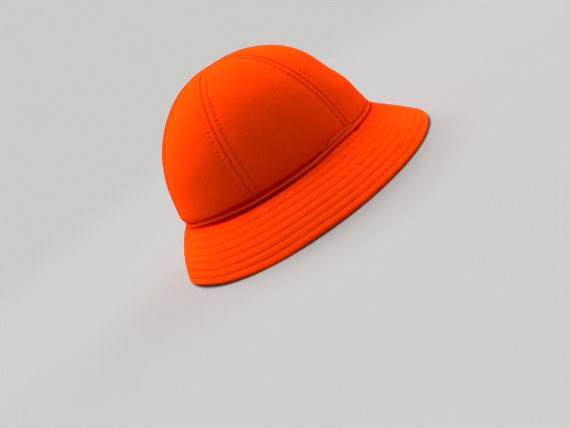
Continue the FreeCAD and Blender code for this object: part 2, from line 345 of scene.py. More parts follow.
def slab(name, outer, inner, flip=False, attrs=None, vecs=None, smooth=True):
    """closed sheet from an outer grid (nu, nv, 3) and an inner grid (mu, mv, 3)"""
    nu, nv = outer.shape[:2]; mu, mv = inner.shape[:2]
    off = nu * nv
    verts = np.concatenate([outer.reshape(-1, 3), inner.reshape(-1, 3)])
    faces = grid_faces(nu, nv, 0, flip) + grid_faces(mu, mv, off, not flip)
    O = np.arange(nu * nv).reshape(nu, nv)
    I = np.arange(mu * mv).reshape(mu, mv) + off
    faces += zipper(O[:, 0].tolist(), I[:, 0].tolist(), not flip)
    faces += zipper(O[:, -1].tolist(), I[:, -1].tolist(), flip)
    faces += zipper(O[0, :].tolist(), I[0, :].tolist(), flip)
    faces += zipper(O[-1, :].tolist(), I[-1, :].tolist(), not flip)
    ob = new_obj(name, place(verts), faces, smooth)
    n2 = mu * mv
    for k, v in (attrs or {}).items():
        add_attr(ob, k, np.concatenate([np.asarray(v, float).ravel(), np.zeros(n2)]))
    for k, (v, v2) in (vecs or {}).items():
        add_vec(ob, k, np.concatenate([v.reshape(-1, 3), v2.reshape(-1, 3)]))
    return ob


def stitches(name, centres_fn, items, r=0.27, seg=6, nring=6):
    """one mesh of many single stitches; items: list of (P0, P1, N0) arrays in mm"""
    P0 = np.array([i[0] for i in items]); P1 = np.array([i[1] for i in items])
    N = unit(np.array([i[2] for i in items]))
    n = len(items)
    T = unit(P1 - P0); B = np.cross(N, T)
    k = np.linspace(0, 1, nring)
    prof = np.sqrt(np.maximum(0.06, 1 - (2 * k - 1) ** 4))
    lift = centres_fn(k)
    ang = np.arange(seg) / seg * 2 * pi
    ctr = P0[:, None, :] * (1 - k)[None, :, None] + P1[:, None, :] * k[None, :, None] + N[:, None, :] * lift[None, :, None]
    off = (N[:, None, None, :] * np.cos(ang)[None, None, :, None] * 0.8 + B[:, None, None, :] * np.sin(ang)[None, None, :, None])
    verts = ctr[:, :, None, :] + off * (r * prof)[None, :, None, None]
    verts = verts.reshape(-1, 3)
    per = nring * seg
    base = []
    for a in range(nring - 1):
        for b in range(seg):
            b2 = (b + 1) % seg
            base.append([a * seg + b, (a + 1) * seg + b, (a + 1) * seg + b2, a * seg + b2])
    base = np.array(base)
    quads = (base[None] + (np.arange(n) * per)[:, None, None]).reshape(-1, 4).tolist()
    caps = []
    c0 = np.arange(seg); c1 = (nring - 1) * seg + np.arange(seg)[::-1]
    for q in range(n):
        caps.append((c0 + q * per).tolist()); caps.append((c1 + q * per).tolist())
    return new_obj(name, place(verts), quads + caps)


def tube(path, r, seg=8, closed=False, up=(0, 0, 1)):
    """verts and faces of a round tube along a path in mm"""
    P = np.asarray(path, float); n = len(P)
    if closed:
        T = unit(np.roll(P, -1, 0) - np.roll(P, 1, 0))
    else:
        T = unit(np.gradient(P, axis=0))
    U = np.broadcast_to(np.asarray(up, float), P.shape)
    B = unit(np.cross(T, U)); Nn = np.cross(B, T)
    a = np.arange(seg) / seg * 2 * pi
    r = np.broadcast_to(r, (n,))
    v = P[:, None, :] + (Nn[:, None, :] * np.cos(a)[None, :, None] + B[:, None, :] * np.sin(a)[None, :, None]) * r[:, None, None]
    f = []
    for i in range(n if closed else n - 1):
        i2 = (i + 1) % n
        for j in range(seg):
            j2 = (j + 1) % seg
            f.append([i * seg + j, i * seg + j2, i2 * seg + j2, i2 * seg + j])
    if not closed:
        f.append([j for j in range(seg)][::-1]); f.append([(n - 1) * seg + j for j in range(seg)])
    return v.reshape(-1, 3), f


# =====================================================================
# 3. Materials
# =====================================================================
class NT:
    def __init__(self, name):
        self.m = bpy.data.materials.new(name)
        self.m.use_nodes = True
        self.t = self.m.node_tree
        self.t.nodes.clear()
        self.out = self.t.nodes.new("ShaderNodeOutputMaterial")
        self.b = self.t.nodes.new("ShaderNodeBsdfPrincipled")
        self.t.links.new(self.b.outputs[0], self.out.inputs[0])

    def n(self, typ, **kw):
        nd = self.t.nodes.new(typ)
        for k, v in kw.items():
            setattr(nd, k, v)
        return nd

    def l(self, a, b):
        self.t.links.new(a, b)

    def math(self, op, a, b=None, c=None, clamp=False):
        nd = self.n("ShaderNodeMath", operation=op, use_clamp=clamp)
        for i, v in enumerate((a, b, c)):
            if v is None:
                continue
            if isinstance(v, (int, float)):
                nd.inputs[i].default_value = v
            else:
                self.l(v, nd.inputs[i])
        return nd.outputs[0]

    def mix(self, fac, a, b):
        nd = self.n("ShaderNodeMix", data_type="RGBA")
        for i, v in ((0, fac), (6, a), (7, b)):
            if isinstance(v, (int, float)):
                nd.inputs[i].default_value = v
            elif isinstance(v, tuple):
                nd.inputs[i].default_value = v
            else:
                self.l(v, nd.inputs[i])
        return nd.outputs[2]

    def coord(self, attr=None, scale=(1, 1, 1)):
        if attr:
            c = self.n("ShaderNodeAttribute", attribute_name=attr).outputs["Vector"]
        else:
            c = self.n("ShaderNodeTexCoord").outputs["Object"]
        mp = self.n("ShaderNodeMapping")
        mp.inputs["Scale"].default_value = scale
        self.l(c, mp.inputs[0])
        return mp.outputs[0]

    def noise(self, vec, scale, detail=2.0, rough=0.5):
        nd = self.n("ShaderNodeTexNoise")
        self.l(vec, nd.inputs["Vector"])
        nd.inputs["Scale"].default_value = scale
        nd.inputs["Detail"].default_value = detail
        nd.inputs["Roughness"].default_value = rough
        return nd.outputs["Fac"]

    def bump(self, height, strength, dist, prev=None):
        nd = self.n("ShaderNodeBump")
        nd.inputs["Strength"].default_value = strength
        nd.inputs["Distance"].default_value = dist
        self.l(height, nd.inputs["Height"])
        if prev is not None:
            self.l(prev, nd.inputs["Normal"])
        return nd.outputs[0]


def knit_material(name, base, shade_colour, painted_shade=True, wale=1.0):
    """brushed orange knit: fine wales, soft nap, blotches, and shade painted into seams, holes and crevices"""
    m = NT(name)
    c = m.coord()
    k = m.coord("cloth")                      # cloth coordinates in mm: across, along
    big = m.noise(c, 38.0, 3.0, 0.55)
    fine = m.noise(c, 900.0, 3.0, 0.6)
    # wales run up the cloth, courses across it
    sep = m.n("ShaderNodeSeparateXYZ"); m.l(k, sep.inputs[0])
    wob = m.noise(k, 0.09, 2.0, 0.5)
    x = m.math("ADD", sep.outputs[0], m.math("MULTIPLY", wob, 2.2))
    w1 = m.math("SINE", m.math("MULTIPLY", x, 2 * pi / 1.2))
    w2 = m.math("SINE", m.math("MULTIPLY", x, 2 * pi / 2.7))
    mid = m.noise(k, 0.42, 2.0, 0.6)
    c1 = m.math("SINE", m.math("MULTIPLY", sep.outputs[1], 2 * pi / 1.0))
    wal = m.math("ADD", m.math("MULTIPLY", w1, 0.5), m.math("MULTIPLY", w2, 0.5 * wale))
    tone = m.math("ADD", m.math("MULTIPLY", m.math("SUBTRACT", big, 0.5), 0.55),
                  m.math("MULTIPLY", m.math("SUBTRACT", fine, 0.5), 0.5))
    tone = m.math("ADD", tone, m.math("MULTIPLY", w2, 0.14 * wale))
    tone = m.math("ADD", tone, m.math("MULTIPLY", m.math("SUBTRACT", mid, 0.5), 1.5))
    tone = m.math("ADD", tone, 0.42, clamp=True)
    col = m.mix(tone, base, tuple(b * 0.80 if i else b * 0.88 for i, b in enumerate(base[:3])) + (1,))
    if painted_shade:
        # painted shade: the painted_shade attribute mixes the knit towards a dark red, past 1 towards near black, and
        # takes the sheen away there
        at = m.n("ShaderNodeAttribute", attribute_name="painted_shade").outputs["Fac"]
        col = m.mix(m.math("MULTIPLY", at, 1.0, clamp=True), col, shade_colour)
        col = m.mix(m.math("SUBTRACT", at, 1.0, clamp=True), col, PAINTED_SHADE_DARKEST)
        m.l(m.math("MULTIPLY", m.math("SUBTRACT", 1.0, at, clamp=True), 0.40), m.b.inputs["Sheen Weight"])
    m.l(col, m.b.inputs["Base Color"])
    h = m.math("ADD", m.math("MULTIPLY", wal, 0.22), m.math("MULTIPLY", c1, 0.10))
    h = m.math("ADD", h, m.math("MULTIPLY", fine, 1.2))
    h = m.math("ADD", h, m.math("MULTIPLY", m.noise(c, 260.0, 2.0, 0.5), 0.9))
    m.l(m.bump(h, 0.55, 0.00022), m.b.inputs["Normal"])
    rr = m.math("ADD", m.math("MULTIPLY", fine, 0.12), 0.82)
    m.l(rr, m.b.inputs["Roughness"])
    m.b.inputs["Specular IOR Level"].default_value = 0.0
    if not painted_shade:
        m.b.inputs["Sheen Weight"].default_value = 0.40
    m.b.inputs["Sheen Roughness"].default_value = 0.5
    m.b.inputs["Sheen Tint"].default_value = (1.0, 0.085, 0.004, 1)
    return m.m


def thread_material(name, base):
    m = NT(name)
    c = m.coord()
    wv = m.n("ShaderNodeTexWave", wave_type="BANDS", bands_direction="DIAGONAL")
    m.l(c, wv.inputs["Vector"])
    wv.inputs["Scale"].default_value = 900.0
    wv.inputs["Distortion"].default_value = 1.5
    ns = m.noise(c, 300.0, 2.0)
    col = m.mix(m.math("MULTIPLY", ns, 0.6), base, tuple(x * 0.7 for x in base[:3]) + (1,))
    m.l(col, m.b.inputs["Base Color"])
    m.l(m.bump(wv.outputs["Fac"], 0.5, 0.0001), m.b.inputs["Normal"])
    m.b.inputs["Roughness"].default_value = 0.7
    m.b.inputs["Sheen Weight"].default_value = 0.25
    m.b.inputs["Sheen Tint"].default_value = (1.0, 0.08, 0.003, 1)
    m.b.inputs["Specular IOR Level"].default_value = 0.0
    return m.m


def woven_material(name, base, dark, pitch=0.55, twill=False, rough=0.7, spec=0.2, bump=0.5):
    """plain or twill woven cloth on the cloth coordinates (mm)"""
    m = NT(name)
    k = m.coord("cloth")
    c = m.coord()
    sep = m.n("ShaderNodeSeparateXYZ"); m.l(k, sep.inputs[0])
    a = m.math("MULTIPLY", sep.outputs[0], 2 * pi / pitch)
    b = m.math("MULTIPLY", sep.outputs[1], 2 * pi / pitch)
    if twill:
        h = m.math("SINE", m.math("ADD", a, b))
    else:
        h = m.math("MULTIPLY", m.math("SINE", a), m.math("SINE", b))
    ns = m.noise(c, 60.0, 4.0, 0.6)
    f = m.math("ADD", m.math("MULTIPLY", h, 0.22), m.math("MULTIPLY", ns, 0.8), clamp=True)
    m.l(m.mix(f, dark, base), m.b.inputs["Base Color"])
    hh = m.math("ADD", m.math("MULTIPLY", h, 0.5), m.math("MULTIPLY", m.noise(c, 700.0, 2.0), 0.6))
    m.l(m.bump(hh, bump, 0.00016), m.b.inputs["Normal"])
    m.l(m.math("ADD", m.math("MULTIPLY", ns, 0.15), rough - 0.07), m.b.inputs["Roughness"])
    m.b.inputs["Specular IOR Level"].default_value = spec
    m.b.inputs["Sheen Weight"].default_value = 0.15
    return m.m


def foam_material(name, base, dark):
    m = NT(name)
    c = m.coord()
    vo = m.n("ShaderNodeTexVoronoi")
    m.l(c, vo.inputs["Vector"])
    vo.inputs["Scale"].default_value = 900.0
    ns = m.noise(c, 90.0, 3.0)
    m.l(m.mix(m.math("MULTIPLY", ns, 0.9), base, dark), m.b.inputs["Base Color"])
    m.l(m.bump(vo.outputs["Distance"], 0.6, 0.0003), m.b.inputs["Normal"])
    m.b.inputs["Roughness"].default_value = 0.95
    m.b.inputs["Specular IOR Level"].default_value = 0.1
    return m.m


ORANGE = (0.98, 0.0465, 0.0009, 1)
# colours of painted shade: a dark red, and a near black for the deepest painted shade
PAINTED_SHADE_RED = (0.58, 0.0012, 0.0, 1)
PAINTED_SHADE_DARKEST = (0.15, 0.0, 0.0, 1)
MAT_KNIT = knit_material("brushed_knit_orange", ORANGE, PAINTED_SHADE_RED)
MAT_BRIM = knit_material("brushed_knit_orange_brim", ORANGE, PAINTED_SHADE_RED, wale=0.4)
# the welt knit is a lighter orange than the crown and brim: a painted highlight
MAT_WELT = knit_material("welt_knit", (1.0, 0.056, 0.0012, 1), PAINTED_SHADE_RED, wale=0.6)
MAT_THREAD = thread_material("sewing_thread", (0.98, 0.046, 0.0010, 1))
# the overlock threads are a lighter orange than the cloth and the sewing thread: a painted highlight
MAT_FRAY = thread_material("overlock_thread", (1.0, 0.105, 0.005, 1))
MAT_LINING = woven_material("lining_weave", (0.86, 0.085, 0.012, 1), (0.55, 0.03, 0.004, 1), 0.5, False, 0.55, 0.35, 0.35)
MAT_BAND = woven_material("sweatband_twill", (0.060, 0.052, 0.046, 1), (0.020, 0.017, 0.015, 1), 0.9, True, 0.8, 0.2, 0.7)
MAT_FOAM = foam_material("foam_interlining", (0.88, 0.86, 0.80, 1), (0.70, 0.66, 0.58, 1))
MAT_CORD = woven_material("twisted_cotton_cord", (0.80, 0.75, 0.64, 1), (0.55, 0.50, 0.40, 1), 1.0, True, 0.9, 0.1, 0.8)


def finish_piece(ob, mat, slot, *nodes):
    ob.data.materials.clear()
    ob.data.materials.append(mat)
    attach(ob, "root")
    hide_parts(*nodes)


# =====================================================================
# 4. Crown gores
# =====================================================================
T1 = SEAM_T
GORES = {
    "front_left": (0.0, T1), "left": (T1, pi - T1), "rear_left": (pi - T1, pi),
    "front_right": (-T1, 0.0), "right": (-pi + T1, -T1), "rear_right": (-pi, -pi + T1),
}
SEAMS = [-pi + T1, -T1, 0.0, T1, pi - T1, pi]
ND, NM, NR = 30, 20, 236
D_STEP = 0.32


def seam_id(t):
    # the same number for one seam seen from both gores
    k = [int(round(math.degrees(x))) % 360 for x in SEAMS]
    return k.index(int(round(math.degrees(t))) % 360)


def gore_grid(t0, t1, rows, nd=ND, nm=NM, dstep=D_STEP):
    """t of every grid point, its distance from each seam, and the half width"""
    s = np.linspace(0, 1, rows)
    tf = np.linspace(t0, t1, 81)
    Pf = crown_pt(tf[:, None], s[None, :])
    seg = np.linalg.norm(np.diff(Pf, axis=0), axis=-1)
    cum = np.concatenate([np.zeros((1, rows)), np.cumsum(seg, 0)])
    W = cum[-1]
    hw = W / 2
    nu = 2 * (nd + nm) + 1
    D = np.zeros((nu, rows)); TT = np.zeros((nu, rows))
    dense = np.arange(nd + 1) * dstep
    for j in range(rows):
        k = min(1.0, hw[j] / (dense[-1] * 1.25))
        left = dense * k
        mid = np.linspace(left[-1], hw[j], nm + 1)[1:]
        half = np.concatenate([left, mid])
        d = np.concatenate([half, (W[j] - half[::-1])[1:]])
        D[:, j] = d
        TT[:, j] = np.interp(d, cum[:, j], tf)
    return TT, D, W, s


def stitch_phase(seam, side, s_arr):
    return (0.37 * seam + 0.19 * side) % 1.0


def row_height(d, a, off, hw, phase, seed):
    """dip of the top-stitching and of its needle holes; a = mm along the row"""
    live = sstep(hw, off + 0.8, off + 2.6) * sstep(a, 1.5, 4.0)
    wob = 0.22 * noise2(a / 9.0, 0 * a + seed, seed)
    dd = d - off - wob
    line = np.exp(-(dd / 0.75) ** 2)
    ph = (a / PITCH_ST + phase + 0.05 * noise2(a / 13.0, 0 * a, seed + 5))
    da = (ph - np.round(ph)) * PITCH_ST
    size = 0.85 + 0.3 * noise2(np.round(ph) * 1.7, 0 * a, seed + 8)
    hole = np.exp(-((dd / 0.78) ** 2 + (da / 0.86) ** 2)) * size
    return -(0.12 * line + 0.42 * hole) * live, hole * live, line * live, live


BIAS = {"right": radians(32.5), "left": radians(-32.5), "front_right": radians(8), "front_left": radians(-8),
        "rear_right": radians(-6), "rear_left": radians(6)}


def overlock_strip(tw):
    """where the overlocked edge shows (0..1) and how high it reaches, mm"""
    z = sstep(tw, radians(-82.5), radians(-79)) * (1 - sstep(tw, radians(-60), radians(-56)))
    top = 1.9 + 2.4 * sstep(tw, radians(-80), radians(-74)) * (1 - sstep(tw, radians(-65), radians(-58)))
    return z, top


def gore_height(P, S, dl, dr, Wd, t0, t1, TT):
    """height of the sewn cloth over the smooth crown, and how much shade is painted into its seams, holes and crevices
    """
    hw = Wd / 2
    a = S * CROWN_LEN
    h = np.zeros_like(dl); painted_shade = np.zeros_like(dl)
    for (ts, dist, side) in ((t0, dl, 0), (t1, dr, 1)):
        sid = seam_id(ts)
        near = sstep(hw, 1.0, 6.0)
        # the seam itself: both gores turn down into one crisp line, with painted shade along it, less on the front
        # seams
        h -= (1.25 * np.exp(-(dist / 0.48) ** 2) + 0.20 * np.exp(-(dist / 1.5) ** 2)) * (0.35 + 0.65 * near)
        front = 1.0 if abs(ts) < radians(90) else 0.0
        painted_shade += (0.92 - 0.32 * front) * np.exp(-(dist / 0.40) ** 2) * (0.4 + 0.6 * near)
        # the edge beside the line stands up a little, more on the front side
        h += (0.24 if side == 0 else 0.10) * np.exp(-((dist - 1.15) / 0.6) ** 2) * near
        # folded allowance under the cloth lifts a band as far as the stitching
        band = sstep(dist, 0.8, 2.2) * (1 - sstep(dist, 4.6, 6.0))
        h += (0.26 + 0.12 * noise2(a / 11.0, 0 * a + sid, 31 + sid)) * band * near
        r, hole, line, live = row_height(dist, a, ROW_OFF, hw, stitch_phase(sid, side, S), 3 * sid + side)
        h += r
        # painted shade in the needle holes, fading higher up the crown, and faintly along the row
        fade = 0.35 + 0.65 * (1 - sstep(a, 85, 125))
        painted_shade += 0.60 * hole * fade + 0.03 * line
        # cloth rises softly beyond the row, and pulls in small puckers beside it
        h -= 0.22 * np.exp(-((dist - 8.2) / 2.4) ** 2) * live
        ph = (a / PITCH_ST + stitch_phase(sid, side, S))
        puck = 0.5 + 0.5 * np.cos(2 * pi * ph)
        h -= 0.14 * puck * np.exp(-((dist - 7.2) / 1.3) ** 2) * live
        h -= 0.10 * puck * np.exp(-((dist - 4.6) / 1.1) ** 2) * live
    # long soft undulations of padded cloth
    X = P[..., 0]; Z = P[..., 2]; Y = P[..., 1]
    h += 0.40 * fnoise((X + Y) / 34.0, Z / 30.0, 5) * sstep(a, 4, 20) * (1 - sstep(S, 0.9, 1.0))
    h += 0.11 * fnoise((X - Y) / 9.0, Z / 9.0, 9)
    # the gore swells a little between its seams
    h += 0.55 * np.sin(pi * np.clip(dl / Wd, 0, 1)) ** 0.8 * sstep(hw, 3, 25)
    # slack folds of the cloth over the rear seam of the welt
    tw = (TT + pi) % (2 * pi) - pi
    h += 0.30 * np.sin(a / 2.9 + 1.4 * noise2(tw * 6, 0 * a, 21)) * gs(np.abs(tw) - radians(165), radians(45)) * gs(a - 8, 8)
    # lower edge rolls in over the welt, with painted shade in the crevice above the welt
    g = sunk(tw)
    h += -2.0 * np.exp(-(a / (1.7 + 0.9 * g)) ** 2) - 0.35 * np.exp(-(a / 5.0) ** 2) + 0.35 * np.exp(-((a - 9.0) / 5.0) ** 2)
    painted_shade += 1.15 * np.exp(-((a - 1.6 - 0.3 * g) / (0.85 + 0.65 * g)) ** 2) * periodic(tw, WELT_CREVICE_SHADE)
    # overlocked strip that shows under the cloth at the front right, with a line of painted shade along its top
    z_, top = overlock_strip(tw)
    h += 3.6 * z_ * np.clip(1 - a / (top + 0.3), 0, 1)
    painted_shade += z_ * 0.55 * np.exp(-((a - top - 0.5) / 0.6) ** 2)
    # shade along the right side above the welt
    painted_shade += 0.46 * np.exp(-(a / 14.0) ** 2) * sstep(tw, radians(-150), radians(-128)) * (1 - sstep(tw, radians(-84), radians(-48)))
    h += broad(TT, a)
    return h, painted_shade


def gore_mesh(name, t0, t1):
    TT, D, W, s = gore_grid(t0, t1, NR)
    S = np.broadcast_to(s[None, :], TT.shape)
    P = crown_pt(TT, S); N = crown_nrm(TT, S)
    a = S * CROWN_LEN
    Wd = np.broadcast_to(W[None, :], TT.shape)
    h, painted_shade = gore_height(P, S, D, Wd - D, Wd, t0, t1, TT)
    outer = P + N * h[..., None]
    # inner side, coarse
    si = np.linspace(0, 1, 60)
    TI = np.linspace(t0, t1, 25)[:, None] + 0 * si[None, :]
    SI = np.broadcast_to(si[None, :], TI.shape)
    PI_ = crown_pt(TI, SI); NI = crown_nrm(TI, SI)
    depth = T_FABRIC + 2.1 * np.exp(-(SI * CROWN_LEN / 2.0) ** 2)
    inner = PI_ - NI * (depth - broad(TI, SI * CROWN_LEN))[..., None]
    x = D - W[None, :] / 2
    cb, sb = math.cos(BIAS[name]), math.sin(BIAS[name])
    clothO = V(x * cb - a * sb, x * sb + a * cb, 0 * a)
    WI = np.linspace(-1, 1, 25)[:, None] * np.interp(si, s, W)[None, :] / 2
    clothI = V(WI, SI * CROWN_LEN, 0 * SI)
    ob = slab("crown_" + name, outer, inner, flip=False,
              attrs={"painted_shade": np.clip(painted_shade, 0, 1)}, vecs={"cloth": (clothO, clothI)})
    return ob, W, s


for nm, (a_, b_) in GORES.items():
    ob, W_, s_ = gore_mesh(nm, a_, b_)
    finish_piece(ob, MAT_KNIT, "knit_orange", "crown_panel_" + nm)
    g = crown_pt(np.linspace(a_, b_, 30)[:, None], np.linspace(0, 1, 60)[None, :])

# =====================================================================
# 5. Foam interlining and lining of the crown
# =====================================================================
D_FOAM = (T_FABRIC + GAP, T_FABRIC + GAP + T_FOAM)
D_LIN = (D_FOAM[1] + GAP, D_FOAM[1] + GAP + T_LINING)


def broad_in(t, a):
    """the same departures for the inner layers; behind the sweatband they stay put"""
    b = broad(t, a)
    k = sstep(a, 34, 50)
    return b * k + np.maximum(b, 0.0) * (1 - k)


def plain_gore(name, t0, t1, d0, d1, nu=41, nv=81, seam_dip=0.0, ripple=0.0, seed=1):
    s = np.linspace(0, 1, nv); u = np.linspace(0, 1, nu)
    T = t0 + (t1 - t0) * u[:, None] + 0 * s[None, :]
    S = np.broadcast_to(s[None, :], T.shape)
    P = crown_pt(T, S, TAB_IN); N = crown_nrm(T, S, TAB_IN)
    A = 3.6 + S * (CROWN_LEN - 3.6)
    P = P + N * broad_in(T, A)[..., None]
    calm = sstep(A, 31, 42)                    # flat behind the sweatband
    Wd = np.linalg.norm(np.diff(P, axis=0), axis=-1).sum(0)
    dist = np.minimum(u[:, None], 1 - u[:, None]) * Wd[None, :]
    fade = sstep(Wd, 1.0, 12.0)[None, :]
    dip = seam_dip * np.exp(-(dist / 1.6) ** 2) * fade * (0.1 + 0.9 * calm)
    rip = ripple * fnoise(P[..., 0] / 16.0 + seed, (P[..., 2] + P[..., 1]) / 22.0, seed) * fade * sstep(dist, 0, 6) * (0.12 + 0.88 * calm)
    outer = P - N * (d0 + 0.15 * dip)[..., None]
    inner = P - N * (d1 + rip - dip)[..., None]
    cl = V((u[:, None] - 0.5) * Wd[None, :], S * CROWN_LEN, 0 * S)
    return slab(name, outer, inner, attrs=None, vecs={"cloth": (cl, cl)})


for nm, (a_, b_) in GORES.items():
    k = list(GORES).index(nm)
    e = 0.014                              # the foam is trimmed out of the seam
    ob = plain_gore("foam_" + nm, a_ + e, b_ - e, D_FOAM[0] + 0.80, D_FOAM[1] - 0.02, seam_dip=0.0, seed=k)
    finish_piece(ob, MAT_FOAM, "foam_interlining", "crown_interlining_" + nm)
    ob = plain_gore("lining_" + nm, a_, b_, D_LIN[0], D_LIN[1] + 0.25, 61, 111, seam_dip=-0.9, ripple=0.5, seed=20 + k)
    finish_piece(ob, MAT_LINING, "lining_cloth", "lining_panel_" + nm)
    g = crown_pt(np.linspace(a_, b_, 30)[:, None], np.linspace(0, 1, 60)[None, :])

# =====================================================================
# 6. Brim: top skin, under skin and core, each in two halves
# =====================================================================
HALVES = {"front": (-pi / 2, pi / 2), "rear": (pi / 2, 3 * pi / 2)}
EDGE_U = radians(105.0)
NT_ = 641


def row_positions():
    """q samples across the brim: close together at the rows, wider between"""
    q = [BRIM_S0]
    marks = ROWS
    fine = np.concatenate([np.arange(-1.6, 1.61, 0.32)])
    pts = set()
    for r in marks:
        for f in fine:
            pts.add(round(float(r + f), 3))
    x = BRIM_S0
    while x < W_TOP:
        if min(abs(x - r) for r in marks) > 1.7:
            pts.add(round(float(x), 3))
        x += 0.78
    pts.add(BRIM_S0); pts.add(round(W_TOP, 3))
    return np.array(sorted(p for p in pts if BRIM_S0 <= p <= W_TOP + 1e-6))


def along(t, q):
    """length along the brim at q mm from the seam, measured from t = -pi/2, and its table"""
    tt = np.linspace(-pi, 2 * pi, 1801)
    P, _, _ = brim_frame(tt, np.full_like(tt, q))
    L = np.concatenate([[0], np.cumsum(np.linalg.norm(np.diff(P, axis=0), axis=-1))])
    return np.interp(t, tt, L), (tt, L)


def row_shift(t, q):
    """at the back the rows sit nearer to the crown"""
    tw = np.abs((t + pi) % (2 * pi) - pi)
    return -1.8 * sstep(tw, radians(149), radians(163)) * sstep(q, 2.5, 8.0) * (1 - sstep(q, 40, 52))


def quilt(t, q, side):
    """height of the quilted surface over the smooth brim (mm), and the shade painted into its grooves and needle holes
    """
    q = q - row_shift(t, q)
    h = np.zeros_like(q); painted_shade = np.zeros_like(q)
    tw = (t + pi) % (2 * pi) - pi                    # -pi..pi
    edges = [0.0] + ROWS + [BRIM_W + 3.0]
    # strength of the puckers round the hat: strongest at the front right
    reg = 0.42 + 1.05 * np.exp(-((tw + radians(56)) / radians(30)) ** 2) \
        + 0.55 * np.exp(-((tw - radians(60)) / radians(35)) ** 2) + 0.25 * noise2(tw * 3.0, 0 * tw + 2.0, 77)
    Lmid = t * 112.0
    for i in range(len(edges) - 1):
        a, b = edges[i], edges[i + 1]
        x = np.clip((q - a) / (b - a), 0, 1)
        inside = (q >= a) & (q < b)
        amp = 0.30 if i else 0.24
        if i == len(edges) - 2:
            puff = 0.38 * np.clip(np.sin(pi * np.clip(x * 1.08, 0, 1)), 0, 1) ** 0.85
        else:
            puff = amp * np.sin(pi * x) ** 0.95
        # puckers: short ridges across each channel, different in each
        sl = 0.35 * noise2(Lmid / 26.0, 0 * t + i, 90 + i)
        ph = Lmid / (6.6 + 0.9 * (i % 3)) + sl * (x - 0.5) * 3 + 1.3 * noise2(Lmid / 15.0, 0 * t + i * 3.1, 50 + i)
        pk = np.sin(2 * pi * ph) * 0.5 + 0.6 * fnoise(Lmid / 5.2, q / 6.0 + i * 9, 40 + i, 2)
        wgt = (1.30 - 0.13 * i) * reg
        pk = 0.34 * wgt * pk * np.sin(pi * x) ** 0.45
        h = np.where(inside, puff * (1 + 0.22 * noise2(Lmid / 18.0, 0 * t + i, 61 + i)) + pk, h)
    # rows: fine groove, needle holes, and a little wander; painted shade in the holes and faintly along the groove
    for i, r in enumerate(ROWS):
        L = along_row[i]
        Ls = np.interp(t, L[0], L[1])
        wob = 0.28 * noise2(Ls / 17.0, 0 * t + i, 12 + i)
        dq = q - r - wob
        line = np.exp(-(dq / 0.62) ** 2)
        ph = Ls / PITCH_ST + 0.31 * i + 0.07 * noise2(Ls / 12.0, 0 * t, 8 + i)
        da = (ph - np.round(ph)) * PITCH_ST
        size = 0.62 + 0.62 * noise2(np.round(ph) * 1.31, 0 * t + i * 2.3, 18 + i)
        hole = np.exp(-((dq / 0.66) ** 2 + (da / 0.86) ** 2)) * np.clip(size, 0.1, 1.1)
        soft = 0.55 + 0.45 * noise2(Ls / 23.0, 0 * t + i, 25 + i)
        h -= (0.08 + 0.07 * soft) * line + 0.42 * hole
        painted_shade += 0.04 * line * soft + 0.52 * hole
    return h, painted_shade, tw


along_row = []
for r_ in ROWS:
    _, tab_ = along(0.0, r_)
    along_row.append(tab_)


def side_seam(t, q):
    """the short radial joins of the two brim halves"""
    d = np.minimum(np.abs(t - pi / 2), np.minimum(np.abs(t + pi / 2), np.abs(t - 3 * pi / 2)))
    dist = d * (HEAD_A + q * 0.75)
    w = 1.0 - 0.80 * sstep(q, 6, 22)
    return dist, w


def rec(t, q):
    """the top skin dips where it goes into the seam"""
    g = sunk(t)
    return -(0.5 + 0.8 * g) * np.exp(-((q - 2.4) / (1.8 + 1.6 * g)) ** 2) * sstep(q, 0.2, 1.6)


